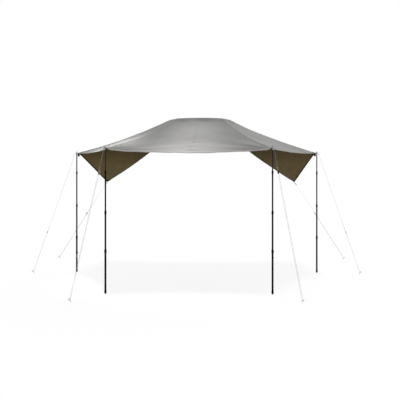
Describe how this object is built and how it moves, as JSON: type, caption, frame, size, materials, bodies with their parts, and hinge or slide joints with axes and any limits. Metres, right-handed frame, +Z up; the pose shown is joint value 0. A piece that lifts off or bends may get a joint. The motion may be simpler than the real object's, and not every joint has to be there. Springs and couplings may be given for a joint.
{
  "type": "vehicle side awning",
  "caption": "Fabric awning canopy with an arched rear edge and two drooping wings, on telescopic twist-lock poles, held by guy lines with tensioners and pegs.",
  "frame": {"origin": "on the ground, under the middle of the awning's box without its guy lines", "axes": "+X along the vehicle, +Y from the open front towards the arched rear edge, +Z up"},
  "size_m": [5.978, 3.9297, 2.901],
  "materials": {
    "cloth": "coated ripstop cloth, grey outside and olive inside",
    "keder": "sewn welt cord in light webbing",
    "webbing": "black woven webbing tab",
    "cord": "braided light grey guy line",
    "grey_tube": "grey anodised tube",
    "black_tube": "black powder coated tube",
    "black_plastic": "black moulded plastic",
    "rubber": "black rubber foot cap",
    "peg_steel": "zinc plated steel rod"
  },
  "bodies": {
    "root": {"canopy": "cloth", "arch_keder": "keder", "near_left_top_tube": "grey_tube", "far_left_top_tube": "grey_tube", "near_right_top_tube": "grey_tube", "far_right_top_tube": "grey_tube", "near_left_tab": "webbing", "near_left_guy_line": "cord", "near_left_peg": "peg_steel", "far_left_tab": "webbing", "far_left_guy_line": "cord", "far_left_peg": "peg_steel", "left_wing_tab": "webbing", "left_wing_guy_line": "cord", "left_wing_peg": "peg_steel", "near_right_tab": "webbing", "near_right_guy_line": "cord", "near_right_peg": "peg_steel", "far_right_tab": "webbing", "far_right_guy_line": "cord", "far_right_peg": "peg_steel", "right_wing_tab": "webbing", "right_wing_guy_line": "cord", "right_wing_peg": "peg_steel"},
    "near_left_upper_section": {"near_left_upper_tube": "black_tube"},
    "near_left_middle_section": {"near_left_middle_tube": "black_tube"},
    "near_left_lower_section": {"near_left_lower_tube": "black_tube", "near_left_foot": "rubber"},
    "near_left_top_collar": {"near_left_top_collar": "black_plastic"},
    "near_left_middle_collar": {"near_left_middle_collar": "black_plastic"},
    "near_left_lower_collar": {"near_left_lower_collar": "black_plastic"},
    "far_left_upper_section": {"far_left_upper_tube": "black_tube"},
    "far_left_middle_section": {"far_left_middle_tube": "black_tube"},
    "far_left_lower_section": {"far_left_lower_tube": "black_tube", "far_left_foot": "rubber", "far_left_line_hook": "black_plastic"},
    "far_left_top_collar": {"far_left_top_collar": "black_plastic"},
    "far_left_middle_collar": {"far_left_middle_collar": "black_plastic"},
    "far_left_lower_collar": {"far_left_lower_collar": "black_plastic"},
    "near_right_upper_section": {"near_right_upper_tube": "black_tube"},
    "near_right_middle_section": {"near_right_middle_tube": "black_tube"},
    "near_right_lower_section": {"near_right_lower_tube": "black_tube", "near_right_foot": "rubber"},
    "near_right_top_collar": {"near_right_top_collar": "black_plastic"},
    "near_right_middle_collar": {"near_right_middle_collar": "black_plastic"},
    "near_right_lower_collar": {"near_right_lower_collar": "black_plastic"},
    "far_right_upper_section": {"far_right_upper_tube": "black_tube"},
    "far_right_middle_section": {"far_right_middle_tube": "black_tube"},
    "far_right_lower_section": {"far_right_lower_tube": "black_tube", "far_right_foot": "rubber"},
    "far_right_top_collar": {"far_right_top_collar": "black_plastic"},
    "far_right_middle_collar": {"far_right_middle_collar": "black_plastic"},
    "far_right_lower_collar": {"far_right_lower_collar": "black_plastic"},
    "near_left_tensioner": {"near_left_tensioner": "black_plastic"},
    "far_left_tensioner": {"far_left_tensioner": "black_plastic"},
    "left_wing_tensioner": {"left_wing_tensioner": "black_plastic"},
    "near_right_tensioner": {"near_right_tensioner": "black_plastic"},
    "far_right_tensioner": {"far_right_tensioner": "black_plastic"},
    "right_wing_tensioner": {"right_wing_tensioner": "black_plastic"}
  },
  "joints": [
    {"name": "near_left_upper_slide", "type": "slide", "parent": "root", "child": "near_left_upper_section", "axis": [0, 0, 1], "range_m": [-0.24, 0.32]},
    {"name": "near_left_middle_slide", "type": "slide", "parent": "near_left_upper_section", "child": "near_left_middle_section", "axis": [0, 0, 1], "range_m": [0, 0.52]},
    {"name": "near_left_lower_slide", "type": "slide", "parent": "near_left_middle_section", "child": "near_left_lower_section", "axis": [0, 0, 1], "range_m": [0, 0.5]},
    {"name": "near_left_top_collar_twist", "type": "hinge", "parent": "near_left_upper_section", "child": "near_left_top_collar", "pos_m": [-1.23, -1.59821, 1.8], "axis": [0, 0, 1], "range_deg": [0, 120]},
    {"name": "near_left_middle_collar_twist", "type": "hinge", "parent": "near_left_middle_section", "child": "near_left_middle_collar", "pos_m": [-1.23, -1.59821, 1.21], "axis": [0, 0, 1], "range_deg": [0, 120]},
    {"name": "near_left_lower_collar_twist", "type": "hinge", "parent": "near_left_lower_section", "child": "near_left_lower_collar", "pos_m": [-1.23, -1.59821, 0.64], "axis": [0, 0, 1], "range_deg": [0, 120]},
    {"name": "far_left_upper_slide", "type": "slide", "parent": "root", "child": "far_left_upper_section", "axis": [0, 0, 1], "range_m": [-0.24, 0.32]},
    {"name": "far_left_middle_slide", "type": "slide", "parent": "far_left_upper_section", "child": "far_left_middle_section", "axis": [0, 0, 1], "range_m": [0, 0.52]},
    {"name": "far_left_lower_slide", "type": "slide", "parent": "far_left_middle_section", "child": "far_left_lower_section", "axis": [0, 0, 1], "range_m": [0, 0.5]},
    {"name": "far_left_top_collar_twist", "type": "hinge", "parent": "far_left_upper_section", "child": "far_left_top_collar", "pos_m": [-2.162, 0.20879, 1.8], "axis": [0, 0, 1], "range_deg": [0, 120]},
    {"name": "far_left_middle_collar_twist", "type": "hinge", "parent": "far_left_middle_section", "child": "far_left_middle_collar", "pos_m": [-2.162, 0.20879, 1.21], "axis": [0, 0, 1], "range_deg": [0, 120]},
    {"name": "far_left_lower_collar_twist", "type": "hinge", "parent": "far_left_lower_section", "child": "far_left_lower_collar", "pos_m": [-2.162, 0.20879, 0.64], "axis": [0, 0, 1], "range_deg": [0, 120]},
    {"name": "near_right_upper_slide", "type": "slide", "parent": "root", "child": "near_right_upper_section", "axis": [0, 0, 1], "range_m": [-0.24, 0.32]},
    {"name": "near_right_middle_slide", "type": "slide", "parent": "near_right_upper_section", "child": "near_right_middle_section", "axis": [0, 0, 1], "range_m": [0, 0.52]},
    {"name": "near_right_lower_slide", "type": "slide", "parent": "near_right_middle_section", "child": "near_right_lower_section", "axis": [0, 0, 1], "range_m": [0, 0.5]},
    {"name": "near_right_top_collar_twist", "type": "hinge", "parent": "near_right_upper_section", "child": "near_right_top_collar", "pos_m": [1.23, -1.59821, 1.8], "axis": [0, 0, 1], "range_deg": [0, 120]},
    {"name": "near_right_middle_collar_twist", "type": "hinge", "parent": "near_right_middle_section", "child": "near_right_middle_collar", "pos_m": [1.23, -1.59821, 1.21], "axis": [0, 0, 1], "range_deg": [0, 120]},
    {"name": "near_right_lower_collar_twist", "type": "hinge", "parent": "near_right_lower_section", "child": "near_right_lower_collar", "pos_m": [1.23, -1.59821, 0.64], "axis": [0, 0, 1], "range_deg": [0, 120]},
    {"name": "far_right_upper_slide", "type": "slide", "parent": "root", "child": "far_right_upper_section", "axis": [0, 0, 1], "range_m": [-0.24, 0.32]},
    {"name": "far_right_middle_slide", "type": "slide", "parent": "far_right_upper_section", "child": "far_right_middle_section", "axis": [0, 0, 1], "range_m": [0, 0.52]},
    {"name": "far_right_lower_slide", "type": "slide", "parent": "far_right_middle_section", "child": "far_right_lower_section", "axis": [0, 0, 1], "range_m": [0, 0.5]},
    {"name": "far_right_top_collar_twist", "type": "hinge", "parent": "far_right_upper_section", "child": "far_right_top_collar", "pos_m": [2.162, 0.20879, 1.8], "axis": [0, 0, 1], "range_deg": [0, 120]},
    {"name": "far_right_middle_collar_twist", "type": "hinge", "parent": "far_right_middle_section", "child": "far_right_middle_collar", "pos_m": [2.162, 0.20879, 1.21], "axis": [0, 0, 1], "range_deg": [0, 120]},
    {"name": "far_right_lower_collar_twist", "type": "hinge", "parent": "far_right_lower_section", "child": "far_right_lower_collar", "pos_m": [2.162, 0.20879, 0.64], "axis": [0, 0, 1], "range_deg": [0, 120]},
    {"name": "near_left_tensioner_slide", "type": "slide", "parent": "root", "child": "near_left_tensioner", "axis": [0.1613, 0.2368, 0.9581], "range_m": [-0.3, 0.05]},
    {"name": "far_left_tensioner_slide", "type": "slide", "parent": "root", "child": "far_left_tensioner", "axis": [0.3156, 0.0716, 0.9462], "range_m": [-0.3, 0.05]},
    {"name": "left_wing_tensioner_slide", "type": "slide", "parent": "root", "child": "left_wing_tensioner", "axis": [0.5437, -0.0858, 0.8349], "range_m": [-0.3, 0.05]},
    {"name": "near_right_tensioner_slide", "type": "slide", "parent": "root", "child": "near_right_tensioner", "axis": [-0.1613, 0.2368, 0.9581], "range_m": [-0.3, 0.05]},
    {"name": "far_right_tensioner_slide", "type": "slide", "parent": "root", "child": "far_right_tensioner", "axis": [-0.3156, 0.0716, 0.9462], "range_m": [-0.3, 0.05]},
    {"name": "right_wing_tensioner_slide", "type": "slide", "parent": "root", "child": "right_wing_tensioner", "axis": [-0.5437, -0.0858, 0.8349], "range_m": [-0.3, 0.05]}
  ]
}
